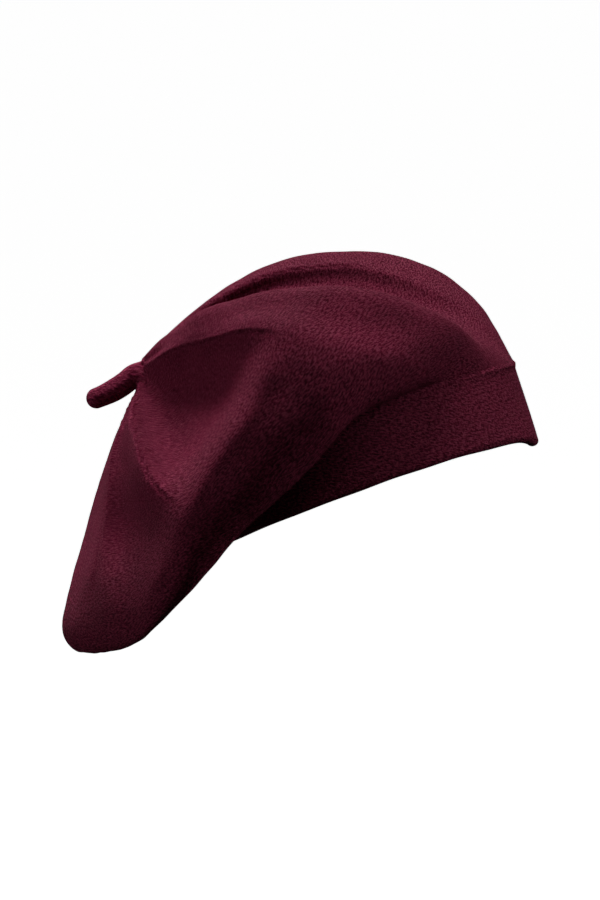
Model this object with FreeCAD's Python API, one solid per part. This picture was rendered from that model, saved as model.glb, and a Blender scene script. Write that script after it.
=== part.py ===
import FreeCAD, Part
import math
import os
import bisect

# Knitted wool beret with a doubled headband and a short knitted stem, in its
# worn pose.  Millimetres.  +Z up, +X towards the wearer's forehead, -Y towards
# the wearer's right side.  Origin: centre of the head opening.

# ---- driving dimensions -----------------------------------------------------
CROWN_T = 2.6            # thickness of the felted stockinette
BAND_T = 2.2             # one layer of the headband
HEM_GAP = 1.2            # room between the two headband layers
FACING_T = 2.0           # inner layer of the headband
WEDGE_GAP = 0.3          # gap drawn between neighbouring knitted segments
SEAM_W = 1.4             # width of the closing seam's linking chain
SEAM_CLEAR = 0.35        # clearance each side of that chain
SEAM_DEG = 240.0         # where the closing seam runs (far side, towards the back)
ROOT_S = 0.45            # inner end of the segments, as a fraction of station 0-1
RIM_S = 5.0              # station of the fold between crown top and underside
BAND_PITCH = 19.0        # the headband is worn tipped back by this angle
TOP_PITCH = 18.3
EDGE_A, EDGE_B = 101.1, 83.0      # half length, half width at the lower edge
TOP_A, TOP_B = 92.7, 78.0         # the same at the band's top line
EDGE_C = (5.4, 0.0, 1.6)          # centre of the lower edge
TOP_C = (1.0, 0.0, 37.4)         # centre of the top line
STEM_R = 4.6             # knitted stem, radius
STEM_TIP_R = 4.9
STEM_L = 23.0            # root centre to tip centre
STEM_LIFT = 5.3          # the root centre stands this far off the fabric
STEM_DIR = (-0.873, 0.0, -0.487)  # the stem droops
DISC_N = (-0.845, 0.0, 0.535)     # outward normal of the crown at the stem
COLLAR_R = 7.6
LABEL_W, LABEL_H, LABEL_T = 30.0, 20.0, 0.6

# rise of the lower edge and of the top line above their planes,
# by angle from the forehead (degrees: mm)
RISE_EDGE = [(0, -6.6), (10, -3.6), (20, 0.2), (33, 2.4), (52, 5.0), (68, 6.4), (81, 6.2),
             (90, 6.0), (100, 5.4), (112, 4.3), (130, 1.5), (150, -2.0), (180, -6.0)]
RISE_TOP = [(0, 0.0), (20, 1.5), (40, 3.5), (55, 5.0), (75, 5.0), (90, 4.0), (120, 0.5),
            (150, -5.0), (180, -8.0)]

# Meridians of the draped crown, from the stem (first point) over the rim
# (sixth point) and round the underside to just above the headband.
# Keyed by angle round the stem: 0 runs to the forehead, 90 to the wearer's
# right, 180 down the back.  Outer surface.
MERIDIANS = {
    0: [(-76.3, 0.0, 61.7), (-64.1, 2.0, 78.8), (-46.1, 4.0, 93.5), (-20.5, 5.0, 105.6), (5.2, 6.0, 109.6), (26.3, 6.0, 108.3), (42.5, 6.0, 103.3), (57.8, 5.0, 96.6), (70.0, 3.0, 89.5), (80.8, 1.0, 78.8)],
    15: [(-76.3, 0.0, 61.5), (-66.5, -5.1, 77.3), (-50.2, -16.0, 86.9), (-26.3, -26.0, 93.7), (-1.6, -33.0, 96.4), (19.1, -37.0, 96.6), (36.2, -38.0, 93.5), (52.4, -36.0, 89.3), (65.0, -33.0, 82.8), (75.8, -28.0, 75.4)],
    30: [(-76.3, 0.0, 61.3), (-67.3, -12.2, 76.1), (-53.8, -36.0, 89.3), (-31.3, -56.0, 98.5), (-7.0, -67.0, 103.1), (13.3, -72.0, 103.8), (29.5, -73.0, 100.7), (45.2, -68.0, 94.1), (58.7, -59.0, 86.9), (69.5, -48.0, 75.5)],
    45: [(-76.3, 0.0, 61.0), (-68.3, -15.6, 72.7), (-55.6, -42.0, 82.4), (-37.1, -66.0, 90.0), (-18.2, -82.0, 94.4), (-1.6, -90.0, 94.4), (15.1, -92.0, 90.0), (31.7, -88.0, 84.4), (45.2, -80.0, 77.6), (56.0, -67.0, 69.3)],
    60: [(-76.3, 0.0, 60.8), (-69.3, -18.2, 69.2), (-57.4, -41.0, 74.7), (-42.1, -66.0, 80.1), (-28.6, -86.0, 83.8), (-15.5, -99.0, 82.7), (-1.1, -104.0, 79.4), (15.1, -103.0, 73.9), (29.0, -96.0, 66.3), (38.9, -85.0, 58.5)],
    75: [(-76.3, 0.0, 60.4), (-70.0, -18.5, 62.7), (-60.1, -31.0, 59.8), (-48.8, -50.0, 58.9), (-38.0, -73.0, 59.3), (-27.2, -101.0, 62.1), (-12.8, -109.0, 57.5), (1.6, -110.0, 50.8), (12.4, -102.0, 43.2), (16.4, -90.0, 44.8)],
    90: [(-76.3, 0.0, 59.9), (-70.9, -18.2, 57.3), (-62.8, -29.0, 51.5), (-54.2, -48.0, 46.7), (-47.5, -72.0, 44.3), (-39.4, -102.0, 45.0), (-26.3, -111.0, 35.6), (-13.3, -110.0, 25.1), (-7.0, -100.0, 19.2), (-4.3, -88.0, 27.6)],
    105: [(-76.3, 0.0, 59.9), (-74.5, -17.2, 53.2), (-70.9, -28.0, 45.2), (-66.8, -47.0, 35.4), (-61.4, -70.0, 26.7), (-53.8, -98.0, 25.0), (-42.1, -107.0, 13.3), (-31.3, -106.0, 4.2), (-26.3, -97.0, 1.0), (-24.1, -86.0, 14.9)],
    120: [(-76.3, 0.0, 59.9), (-79.9, -17.2, 51.8), (-81.7, -34.0, 42.8), (-79.4, -57.0, 30.9), (-74.0, -79.0, 15.0), (-65.5, -96.0, 2.8), (-55.6, -103.0, -9.0), (-47.5, -100.0, -17.7), (-44.3, -90.0, -18.3), (-44.8, -80.0, 1.5)],
    135: [(-76.3, 0.0, 59.9), (-81.5, -13.8, 51.2), (-85.7, -22.0, 39.5), (-86.2, -36.0, 22.6), (-82.6, -50.0, 3.1), (-73.6, -83.0, -12.8), (-65.5, -94.0, -26.2), (-60.1, -90.0, -35.4), (-59.2, -78.0, -32.4), (-61.0, -67.0, -8.7)],
    150: [(-76.3, 0.0, 59.9), (-83.0, -11.0, 50.6), (-88.4, -17.0, 37.4), (-91.1, -27.0, 16.7), (-90.2, -36.0, -6.7), (-83.0, -68.0, -28.4), (-76.3, -77.0, -42.8), (-73.6, -72.0, -50.8), (-74.5, -60.0, -45.1), (-76.7, -52.0, -18.0)],
    180: [(-76.3, 0.0, 59.9), (-83.9, -2.5, 48.3), (-90.5, -10.0, 31.2), (-94.3, -17.0, 6.3), (-98.3, -22.0, -19.6), (-101.0, -25.0, -43.3), (-100.1, -21.0, -59.3), (-95.2, -12.0, -63.8), (-91.6, -6.0, -56.0), (-91.6, -2.0, -28.3)],
    210: [(-76.3, 0.0, 59.9), (-83.0, 9.0, 48.6), (-90.7, 21.0, 29.5), (-98.8, 33.0, 2.3), (-106.9, 42.0, -23.8), (-113.4, 47.0, -46.6), (-113.0, 47.0, -57.4), (-107.8, 44.0, -64.0), (-100.6, 42.0, -59.4), (-84.4, 46.0, -26.7)],
    240: [(-76.3, 0.0, 60.4), (-80.3, 18.0, 51.8), (-85.7, 42.0, 38.8), (-91.1, 66.0, 20.9), (-92.5, 86.0, 0.9), (-88.9, 98.0, -19.1), (-81.2, 103.0, -32.9), (-72.2, 99.0, -39.0), (-62.8, 90.0, -32.2), (-51.1, 80.0, -5.5)],
    270: [(-76.3, 0.0, 60.8), (-74.5, 21.0, 56.1), (-70.0, 46.0, 51.2), (-64.6, 74.0, 46.1), (-56.5, 96.0, 39.6), (-46.6, 109.0, 35.3), (-34.9, 113.0, 29.7), (-24.1, 109.0, 24.0), (-15.1, 100.0, 22.7), (-6.5, 89.0, 30.9)],
    300: [(-76.3, 0.0, 61.3), (-70.9, 17.0, 69.9), (-61.0, 38.0, 76.4), (-48.4, 62.0, 81.0), (-31.7, 82.0, 82.2), (-14.6, 95.0, 79.3), (1.1, 99.0, 74.6), (16.4, 98.0, 68.8), (30.4, 91.0, 62.4), (40.3, 80.0, 56.2)],
    335: [(-76.3, 0.0, 61.7), (-67.7, 12.0, 76.8), (-53.8, 24.0, 88.6), (-29.5, 33.0, 103.3), (-2.5, 38.0, 111.1), (19.1, 40.0, 112.6), (36.7, 40.0, 110.6), (52.9, 37.0, 104.9), (65.5, 33.0, 95.6), (74.9, 31.0, 82.2)],
}


# ---- the draped surface -----------------------------------------------------
def solve(a, b):
    """Gaussian elimination, many right-hand sides."""
    n = len(a)
    a = [row[:] for row in a]
    b = [row[:] for row in b]
    for i in range(n):
        p = max(range(i, n), key=lambda r: abs(a[r][i]))
        a[i], a[p] = a[p], a[i]
        b[i], b[p] = b[p], b[i]
        for r in range(i + 1, n):
            f = a[r][i] / a[i][i]
            if f:
                for c in range(i, n):
                    a[r][c] -= f * a[i][c]
                for c in range(len(b[0])):
                    b[r][c] -= f * b[i][c]
    for i in range(n - 1, -1, -1):
        for c in range(len(b[0])):
            s = b[i][c] - sum(a[i][k] * b[k][c] for k in range(i + 1, n))
            b[i][c] = s / a[i][i]
    return b


ANGLES = sorted(MERIDIANS)
FLAT = [[c for p in MERIDIANS[a] for c in p] for a in ANGLES]
N = len(ANGLES)
H = [((ANGLES[(i + 1) % N] - ANGLES[i]) % 360) for i in range(N)]


def periodic_second():
    a = [[0.0] * N for _ in range(N)]
    b = []
    for i in range(N):
        hp, hn = H[i - 1], H[i]
        a[i][(i - 1) % N] += hp
        a[i][i] += 2 * (hp + hn)
        a[i][(i + 1) % N] += hn
        b.append([6 * ((FLAT[(i + 1) % N][c] - FLAT[i][c]) / hn
                       - (FLAT[i][c] - FLAT[i - 1][c]) / hp) for c in range(len(FLAT[0]))])
    return solve(a, b)


M2 = periodic_second()


def stations(deg):
    t = deg % 360
    i = bisect.bisect_right(ANGLES, t) - 1
    h = H[i]
    x = t - ANGLES[i]
    j = (i + 1) % N
    out = []
    for c in range(len(FLAT[0])):
        ya, yb, ma, mb = FLAT[i][c], FLAT[j][c], M2[i][c], M2[j][c]
        out.append(ma * (h - x) ** 3 / (6 * h) + mb * x ** 3 / (6 * h)
                   + (ya / h - ma * h / 6) * (h - x) + (yb / h - mb * h / 6) * x)
    return [tuple(out[k:k + 3]) for k in range(0, len(out), 3)]


def rise(table, deg):
    d = deg % 360
    d = d if d <= 180 else 360 - d
    for (a, fa), (b, fb) in zip(table, table[1:]):
        if d <= b:
            return fa + (fb - fa) * (d - a) / (b - a)
    return table[-1][1]


def arc_table(a, b, n=720):
    out = [0.0]
    for i in range(n):
        f, g = 2 * math.pi * i / n, 2 * math.pi * (i + 1) / n
        out.append(out[-1] + math.hypot(a * (math.cos(g) - math.cos(f)), b * (math.sin(g) - math.sin(f))))
    return out


ARC_EDGE = arc_table(EDGE_A, EDGE_B)
ARC_TOP = arc_table(TOP_A, TOP_B)


def oval(deg, a, b, arc, pitch, centre, table):
    """A point of an oval ring, at an even share of the ring's length."""
    t = (deg % 360) / 360 * arc[-1]
    i = max(1, bisect.bisect_left(arc, t))
    phi = 360.0 * (i - 1 + (t - arc[i - 1]) / (arc[i] - arc[i - 1])) / (len(arc) - 1)
    x, y = a * math.cos(math.radians(phi)), -b * math.sin(math.radians(phi))
    p = math.radians(pitch)
    return (centre[0] + x * math.cos(p), centre[1] + y, centre[2] + x * math.sin(p) + rise(table, phi))


def band_top(deg):
    return oval(deg, TOP_A, TOP_B, ARC_TOP, TOP_PITCH, TOP_C, RISE_TOP)


def band_edge(deg):
    return oval(deg, EDGE_A, EDGE_B, ARC_EDGE, BAND_PITCH, EDGE_C, RISE_EDGE)


CACHE = {}


def profile(deg):
    """Stations 0-10 of one meridian, their chord lengths and natural-spline second derivatives."""
    key = round(deg % 360, 5)
    if key not in CACHE:
        pts = stations(deg) + [band_top(deg)]
        n = len(pts)
        h = [math.dist(pts[i], pts[i + 1]) for i in range(n - 1)]
        a = [[0.0] * n for _ in range(n)]
        b = [[0.0] * 3 for _ in range(n)]
        a[0][0] = a[n - 1][n - 1] = 1.0
        for i in range(1, n - 1):
            a[i][i - 1], a[i][i], a[i][i + 1] = h[i - 1], 2 * (h[i - 1] + h[i]), h[i]
            b[i] = [6 * ((pts[i + 1][c] - pts[i][c]) / h[i] - (pts[i][c] - pts[i - 1][c]) / h[i - 1])
                    for c in range(3)]
        CACHE[key] = (pts, h, solve(a, b))
    return CACHE[key]


def surf(deg, s):
    """Outer surface: s 0-10 crown, 10-12 headband."""
    if s > 10:
        p, q, f = band_top(deg), band_edge(deg), (s - 10) / 2
        return tuple(p[c] + (q[c] - p[c]) * f for c in range(3))
    pts, h, m = profile(deg)
    i = min(int(s), len(pts) - 2)
    k = h[i]
    x = (s - i) * k
    w = k - x
    return tuple(m[i][c] * w ** 3 / (6 * k) + m[i + 1][c] * x ** 3 / (6 * k)
                 + (pts[i][c] / k - m[i][c] * k / 6) * w
                 + (pts[i + 1][c] / k - m[i + 1][c] * k / 6) * x for c in range(3))


def vec(p):
    return FreeCAD.Vector(*p)


def tangents(deg, s):
    e, d = 0.6, 0.02
    hi = 10.0 if s <= 10 else 12.0
    lo = 0.0 if s <= 10 else 10.001
    a, b = max(lo, s - d), min(hi, s + d)
    return ((vec(surf(deg + e, s)) - vec(surf(deg - e, s))) / (2 * e),
            (vec(surf(deg, b)) - vec(surf(deg, a))) / (b - a))


def inward(deg, s):
    """Unit vector from the right side of the fabric into the hat."""
    tu, tv = tangents(deg, s)
    n = tv.cross(tu)
    return n.normalize()


def offset(deg, s, depth):
    return vec(surf(deg, s)) + inward(deg, s) * depth


def deg_of(mm, deg, s):
    """The angle that spans a width in mm at this place."""
    return mm / tangents(deg, s)[0].Length


# ---- solids from patches of that surface --------------------------------------
def closed(grids):
    """Closed solid between two matching grids of points."""
    faces, isos = [], []
    for rows in grids:
        b = Part.BSplineSurface()
        b.interpolate(rows)
        faces.append(b.toShape())
        u0, u1, v0, v1 = b.bounds()
        isos.append([b.uIso(u0).toShape(), b.uIso(u1).toShape(), b.vIso(v0).toShape(), b.vIso(v1).toShape()])
    for e, f in zip(*isos):
        faces.append(Part.makeRuledSurface(e, f, 1))
    shell = Part.makeShell(faces)
    shell.sewShape()
    solid = Part.makeSolid(shell)
    if solid.Volume < 0:
        solid.reverse()
    return solid


def patch(a0, a1, s0, s1, d0, d1, na, ns, cut0=0.0, cut1=0.0):
    """Solid between depths d0 and d1, cut back by cut0/cut1 mm at its two side edges."""
    grids = []
    for depth in (d0, d1):
        rows = []
        for j in range(ns):
            s = s0 + (s1 - s0) * j / (ns - 1)
            lo, hi = a0 + deg_of(cut0, a0, s), a1 - deg_of(cut1, a1, s)
            rows.append([offset(lo + (hi - lo) * i / (na - 1), s, depth) for i in range(na)])
        grids.append(rows)
    return closed(grids)


def revolve(points, centre, axis):
    """Solid of revolution: (radius, height) polyline, closed on the axis or not, turned to an axis."""
    pts = [FreeCAD.Vector(r, 0, h) for r, h in points]
    face = Part.Face(Part.makePolygon(pts + [pts[0]]))
    solid = face.revolve(FreeCAD.Vector(0, 0, 0), FreeCAD.Vector(0, 0, 1), 360)
    if solid.Volume < 0:
        solid.reverse()
    rot = FreeCAD.Rotation(FreeCAD.Vector(0, 0, 1), FreeCAD.Vector(*axis))
    solid.Placement = FreeCAD.Placement(FreeCAD.Vector(*centre), rot)
    return solid


os.makedirs("parts", exist_ok=True)
NODES = {}
HALF_SEAM = SEAM_W / 2 + SEAM_CLEAR

# six knitted segments, each turned on short rows, from the stem to the rim
for k in range(6):
    a0, a1 = 60.0 * k, 60.0 * (k + 1)
    c0 = HALF_SEAM if a0 == SEAM_DEG else WEDGE_GAP / 2
    c1 = HALF_SEAM if a1 == SEAM_DEG else WEDGE_GAP / 2
    NODES["crown_segment_%d" % (k + 1)] = patch(a0, a1, ROOT_S, RIM_S - 0.03, 0.0, CROWN_T, 13, 15, c0, c1)

# the underside, from the rim in to the headband
A0, A1 = SEAM_DEG, SEAM_DEG + 360.0
NODES["crown_underside"] = patch(A0, A1, RIM_S + 0.03, 9.96, 0.0, CROWN_T, 91, 19, HALF_SEAM, HALF_SEAM)

# the doubled headband
NODES["headband_outer_layer"] = patch(A0, A1, 10.04, 12.0, 0.0, BAND_T, 73, 4, HALF_SEAM, HALF_SEAM)
D_IN = BAND_T + HEM_GAP
NODES["headband_inner_layer"] = patch(A0, A1, 10.2, 12.0, D_IN, D_IN + FACING_T, 73, 4, HALF_SEAM, HALF_SEAM)
NODES["headband_elastic"] = patch(A0, A1, 11.72, 11.9, BAND_T + 0.2, D_IN - 0.2, 73, 3, HALF_SEAM, HALF_SEAM)
NODES["hem_linking_chain"] = patch(A0, A1, 10.04, 10.16, BAND_T + 0.3, D_IN + 1.2, 73, 3, HALF_SEAM, HALF_SEAM)

# the linked closing seam, in the three places it crosses
W = SEAM_W / 2


def seam(s0, s1, d0, d1, ns):
    grids = []
    for depth in (d0, d1):
        rows = []
        for j in range(ns):
            s = s0 + (s1 - s0) * j / (ns - 1)
            h = deg_of(W, SEAM_DEG, s)
            rows.append([offset(SEAM_DEG + h * f, s, depth) for f in (-1, 0, 1)])
        grids.append(rows)
    return closed(grids)


NODES["closing_seam_crown"] = seam(ROOT_S + 0.02, RIM_S - 0.04, 0.1, CROWN_T + 0.3, 15)
NODES["closing_seam_underside"] = seam(RIM_S + 0.04, 9.93, 0.1, CROWN_T + 0.3, 17)
NODES["closing_seam_headband"] = seam(10.05, 11.98, 0.1, BAND_T + 0.3, 4)

# the stem, its gathered collar, the thread that draws the centre in, and its knot
ROOT = vec(surf(0, 0))
DN = FreeCAD.Vector(*DISC_N)
DN.normalize()
PIVOT = ROOT + DN * STEM_LIFT
SD = FreeCAD.Vector(*STEM_DIR)
SD.normalize()
prof = []
for i in range(9):
    t = math.radians(-90 + 90 * i / 8)
    prof.append((STEM_R * math.cos(t), STEM_R * math.sin(t)))
prof[0] = (0.0, -STEM_R)
prof += [(STEM_R - 0.1, STEM_L * 0.35), (STEM_R, STEM_L * 0.7), (STEM_TIP_R, STEM_L * 0.95)]
for i in range(1, 9):
    t = math.radians(90 * i / 8)
    prof.append((STEM_TIP_R * math.cos(t), STEM_L + STEM_TIP_R * math.sin(t)))
prof[-1] = (0.0, STEM_L + STEM_TIP_R)
NODES["stem"] = revolve(prof, PIVOT, SD)
NODES["stem_collar"] = revolve([(2.4, -2.6), (COLLAR_R - 1.0, -2.6), (COLLAR_R, -1.6), (COLLAR_R, -0.6),
                                (COLLAR_R - 1.4, 0.2), (2.4, 0.2)], ROOT, DN)
NODES["centre_gather_thread"] = revolve([(5.6 + 0.5 * math.cos(math.radians(45 * i)),
                                          -3.5 + 0.5 * math.sin(math.radians(45 * i))) for i in range(8)], ROOT, DN)
NODES["stem_tail_knot"] = revolve([(0.0, -7.0), (1.5, -6.6), (2.2, -5.2), (1.9, -3.9), (1.0, -3.1), (0.9, 0.1),
                                   (0.0, 0.3)], ROOT, DN)

# blank care label, sewn by its top edge inside the back of the headband
LAB_DEG = 180.0
p_hi, p_lo = vec(surf(LAB_DEG, 10.45)), vec(surf(LAB_DEG, 11.9))
down = p_lo - p_hi
down.normalize()
side = FreeCAD.Vector(0, -1, 0)
into = side.cross(down)
assert into.x > 0
face_in = D_IN + FACING_T
hang = p_hi + into * (face_in + 2.3)
rot = FreeCAD.Matrix(side.x, down.x, into.x, 0, side.y, down.y, into.y, 0, side.z, down.z, into.z, 0, 0, 0, 0, 1)


def local_box(w, h, t, x, y, z):
    b = Part.makeBox(w, h, t, FreeCAD.Vector(x, y, z))
    pl = FreeCAD.Placement(hang, FreeCAD.Placement(rot).Rotation)
    b.Placement = pl
    return b


NODES["care_label"] = local_box(LABEL_W, LABEL_H, LABEL_T, -LABEL_W / 2, 0.8, -LABEL_T / 2)
NODES["label_stitches"] = local_box(LABEL_W - 4, 1.2, 2.0, -(LABEL_W - 4) / 2, -1.3, -1.9)

total = 0.0
for name, shape in NODES.items():
    print("%-26s valid %s closed %s vol %9.1f faces %d" % (name, shape.isValid(), shape.Shells[0].isClosed() if shape.Shells else None, shape.Volume, len(shape.Faces)))
    total += shape.Volume
    shape.exportStep("parts/%s.step" % name)
print("total mm3 %.0f" % total)
print("root", ROOT, "pivot", PIVOT, "label hinge", hang, "label down", down, "label into", into)
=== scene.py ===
import math

import bpy
import numpy as np
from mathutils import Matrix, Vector


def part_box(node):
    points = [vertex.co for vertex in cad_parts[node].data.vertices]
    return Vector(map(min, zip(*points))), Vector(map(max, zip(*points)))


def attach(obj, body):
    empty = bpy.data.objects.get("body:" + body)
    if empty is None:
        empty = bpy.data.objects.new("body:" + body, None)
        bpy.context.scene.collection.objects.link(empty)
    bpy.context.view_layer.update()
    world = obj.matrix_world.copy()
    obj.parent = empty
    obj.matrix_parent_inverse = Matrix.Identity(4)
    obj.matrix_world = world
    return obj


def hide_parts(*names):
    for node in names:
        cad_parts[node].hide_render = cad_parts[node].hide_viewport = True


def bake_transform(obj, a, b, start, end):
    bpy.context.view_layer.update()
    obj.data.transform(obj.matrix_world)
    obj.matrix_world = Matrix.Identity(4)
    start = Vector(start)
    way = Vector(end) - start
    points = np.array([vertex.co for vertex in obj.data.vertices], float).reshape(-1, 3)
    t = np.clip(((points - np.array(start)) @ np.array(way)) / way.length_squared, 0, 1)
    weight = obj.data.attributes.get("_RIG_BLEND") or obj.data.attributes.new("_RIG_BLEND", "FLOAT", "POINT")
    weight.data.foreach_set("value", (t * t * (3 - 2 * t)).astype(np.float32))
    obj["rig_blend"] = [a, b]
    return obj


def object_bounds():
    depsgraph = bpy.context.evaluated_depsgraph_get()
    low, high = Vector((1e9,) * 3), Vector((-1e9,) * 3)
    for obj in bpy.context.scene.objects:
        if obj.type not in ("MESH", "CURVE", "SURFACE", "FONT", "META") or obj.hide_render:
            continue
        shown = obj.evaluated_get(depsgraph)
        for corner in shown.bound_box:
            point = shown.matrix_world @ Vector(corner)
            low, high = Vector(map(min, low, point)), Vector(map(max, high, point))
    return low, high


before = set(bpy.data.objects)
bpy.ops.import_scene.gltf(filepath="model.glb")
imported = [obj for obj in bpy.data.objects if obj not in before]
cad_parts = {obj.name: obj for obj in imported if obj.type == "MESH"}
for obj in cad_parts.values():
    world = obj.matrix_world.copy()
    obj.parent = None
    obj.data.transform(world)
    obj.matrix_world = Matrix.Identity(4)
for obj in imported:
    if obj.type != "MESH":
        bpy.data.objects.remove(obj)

CAD_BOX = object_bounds()
MM = 0.001

# ---------------------------------------------------------------- the draped hat
# Meridians from the stem over the rim and round the underside to the headband
# (outer surface, millimetres), by angle round the stem.
MERIDIANS = {
      0: [(-76.3, 0.0, 61.7), (-64.1, 2.0, 78.8), (-46.1, 4.0, 93.5), (-20.5, 5.0, 105.6), (5.2, 6.0, 109.6), (26.3, 6.0, 108.3), (42.5, 6.0, 103.3), (57.8, 5.0, 96.6), (70.0, 3.0, 89.5), (80.8, 1.0, 78.8)],
     15: [(-76.3, 0.0, 61.5), (-69.1, -7.0, 76.5), (-50.2, -16.0, 86.9), (-26.3, -26.0, 93.7), (-1.6, -33.0, 96.4), (19.1, -37.0, 96.6), (36.2, -38.0, 93.5), (52.4, -36.0, 89.3), (65.0, -33.0, 82.8), (75.8, -28.0, 75.4)],
     30: [(-76.3, 0.0, 61.3), (-67.3, -16.0, 75.6), (-53.8, -36.0, 89.3), (-31.3, -56.0, 98.5), (-7.0, -67.0, 103.1), (13.3, -72.0, 103.8), (29.5, -73.0, 100.7), (45.2, -68.0, 94.1), (58.7, -59.0, 86.9), (69.5, -48.0, 75.5)],
     45: [(-76.3, 0.0, 61.1), (-68.6, -19.0, 72.2), (-55.6, -42.0, 82.4), (-37.1, -66.0, 90.0), (-18.2, -82.0, 94.4), (-1.6, -90.0, 94.4), (15.1, -92.0, 90.0), (31.7, -88.0, 84.4), (45.2, -80.0, 77.6), (56.0, -67.0, 69.3)],
     60: [(-76.3, 0.0, 60.8), (-70.0, -19.0, 68.6), (-57.4, -41.0, 74.7), (-42.1, -66.0, 80.1), (-28.6, -86.0, 83.8), (-15.5, -99.0, 82.7), (-1.1, -104.0, 79.4), (15.1, -103.0, 73.9), (29.0, -96.0, 66.3), (38.9, -85.0, 58.5)],
     75: [(-76.3, 0.0, 60.4), (-70.0, -14.0, 62.5), (-60.1, -31.0, 59.8), (-48.8, -50.0, 58.9), (-38.0, -73.0, 59.3), (-27.2, -101.0, 62.1), (-12.8, -109.0, 57.5), (1.6, -110.0, 50.8), (12.4, -102.0, 43.2), (16.4, -90.0, 44.8)],
     90: [(-76.3, 0.0, 59.9), (-70.9, -13.0, 57.0), (-62.8, -29.0, 51.5), (-54.2, -48.0, 46.7), (-47.5, -72.0, 44.3), (-39.4, -102.0, 45.0), (-26.3, -111.0, 35.6), (-13.3, -110.0, 25.1), (-7.0, -100.0, 19.2), (-4.3, -88.0, 27.6)],
    105: [(-76.3, 0.0, 59.9), (-74.5, -12.0, 52.9), (-70.9, -28.0, 45.2), (-66.8, -47.0, 35.4), (-61.4, -70.0, 26.7), (-53.8, -98.0, 25.0), (-42.1, -107.0, 13.3), (-31.3, -106.0, 4.2), (-26.3, -97.0, 1.0), (-24.1, -86.0, 14.9)],
    120: [(-76.3, 0.0, 59.9), (-79.9, -15.0, 51.7), (-81.7, -34.0, 42.8), (-79.4, -57.0, 30.9), (-74.0, -79.0, 15.0), (-65.5, -96.0, 2.8), (-55.6, -103.0, -9.0), (-47.5, -100.0, -17.7), (-44.3, -90.0, -18.3), (-44.8, -80.0, 1.5)],
    135: [(-76.3, 0.0, 59.9), (-81.7, -10.0, 51.0), (-85.7, -22.0, 39.5), (-86.2, -36.0, 22.6), (-82.6, -50.0, 3.1), (-73.6, -83.0, -12.8), (-65.5, -94.0, -26.2), (-60.1, -90.0, -35.4), (-59.2, -78.0, -32.4), (-61.0, -67.0, -8.7)],
    150: [(-76.3, 0.0, 59.9), (-83.0, -8.0, 50.4), (-88.4, -17.0, 37.4), (-91.1, -27.0, 16.7), (-90.2, -36.0, -6.7), (-83.0, -68.0, -28.4), (-76.3, -77.0, -42.8), (-73.6, -72.0, -50.8), (-74.5, -60.0, -45.1), (-76.7, -52.0, -18.0)],
    180: [(-76.3, 0.0, 59.9), (-83.7, -4.0, 48.4), (-90.5, -10.0, 31.2), (-94.3, -17.0, 6.3), (-98.3, -22.0, -19.6), (-101.0, -25.0, -43.3), (-100.1, -21.0, -59.3), (-95.2, -12.0, -63.8), (-91.6, -6.0, -56.0), (-91.6, -2.0, -28.3)],
    210: [(-76.3, 0.0, 59.9), (-82.8, 9.0, 48.6), (-90.7, 21.0, 29.5), (-98.8, 33.0, 2.3), (-106.9, 42.0, -23.8), (-113.4, 47.0, -46.6), (-113.0, 47.0, -57.4), (-107.8, 44.0, -64.0), (-100.6, 42.0, -59.4), (-84.4, 46.0, -26.7)],
    240: [(-76.3, 0.0, 60.4), (-80.3, 18.0, 51.8), (-85.7, 42.0, 38.8), (-91.1, 66.0, 20.9), (-92.5, 86.0, 0.9), (-88.9, 98.0, -19.1), (-81.2, 103.0, -32.9), (-72.2, 99.0, -39.0), (-62.8, 90.0, -32.2), (-51.1, 80.0, -5.5)],
    270: [(-76.3, 0.0, 60.8), (-74.5, 21.0, 56.1), (-70.0, 46.0, 51.2), (-64.6, 74.0, 46.1), (-56.5, 96.0, 39.6), (-46.6, 109.0, 35.3), (-34.9, 113.0, 29.7), (-24.1, 109.0, 24.0), (-15.1, 100.0, 22.7), (-6.5, 89.0, 30.9)],
    300: [(-76.3, 0.0, 61.3), (-70.9, 17.0, 69.9), (-61.0, 38.0, 76.4), (-48.4, 62.0, 81.0), (-31.7, 82.0, 82.2), (-14.6, 95.0, 79.3), (1.1, 99.0, 74.6), (16.4, 98.0, 68.8), (30.4, 91.0, 62.4), (40.3, 80.0, 56.2)],
    335: [(-76.3, 0.0, 61.7), (-67.7, 12.0, 76.4), (-53.8, 24.0, 88.6), (-29.5, 33.0, 103.3), (-2.5, 38.0, 111.1), (19.1, 40.0, 112.6), (36.7, 40.0, 110.6), (52.9, 37.0, 104.9), (65.5, 33.0, 95.6), (74.9, 31.0, 82.2)],
}
EDGE_A, EDGE_B, EDGE_C, EDGE_PITCH = 101.1, 83.0, (5.4, 0.0, 1.6), 19.0
TOP_A, TOP_B, TOP_C, TOP_PITCH = 92.7, 78.0, (1.0, 0.0, 37.4), 18.3
RISE_EDGE = [(0, -6.6), (10, -3.6), (20, 0.2), (33, 2.4), (52, 5.0), (68, 6.4), (81, 6.2),
             (90, 6.0), (100, 5.4), (112, 4.3), (130, 1.5), (150, -2.0), (180, -6.0)]
RISE_TOP = [(0, 0.0), (20, 1.5), (40, 3.5), (55, 5.0), (75, 5.0), (90, 4.0), (120, 0.5),
            (150, -5.0), (180, -8.0)]
CROWN_T = 2.6
ROOT = np.array([-76.3, 0.0, 61.7])
DISC_N = np.array([-0.845, 0.0, 0.535]); DISC_N /= np.linalg.norm(DISC_N)
PIVOT = ROOT + DISC_N * 5.3
STEM_DIR = np.array([-0.873, 0.0, -0.487]); STEM_DIR /= np.linalg.norm(STEM_DIR)


def smooth(x, lo, hi):
    t = np.clip((x - lo) / (hi - lo), 0, 1)
    return t * t * (3 - 2 * t)


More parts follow.
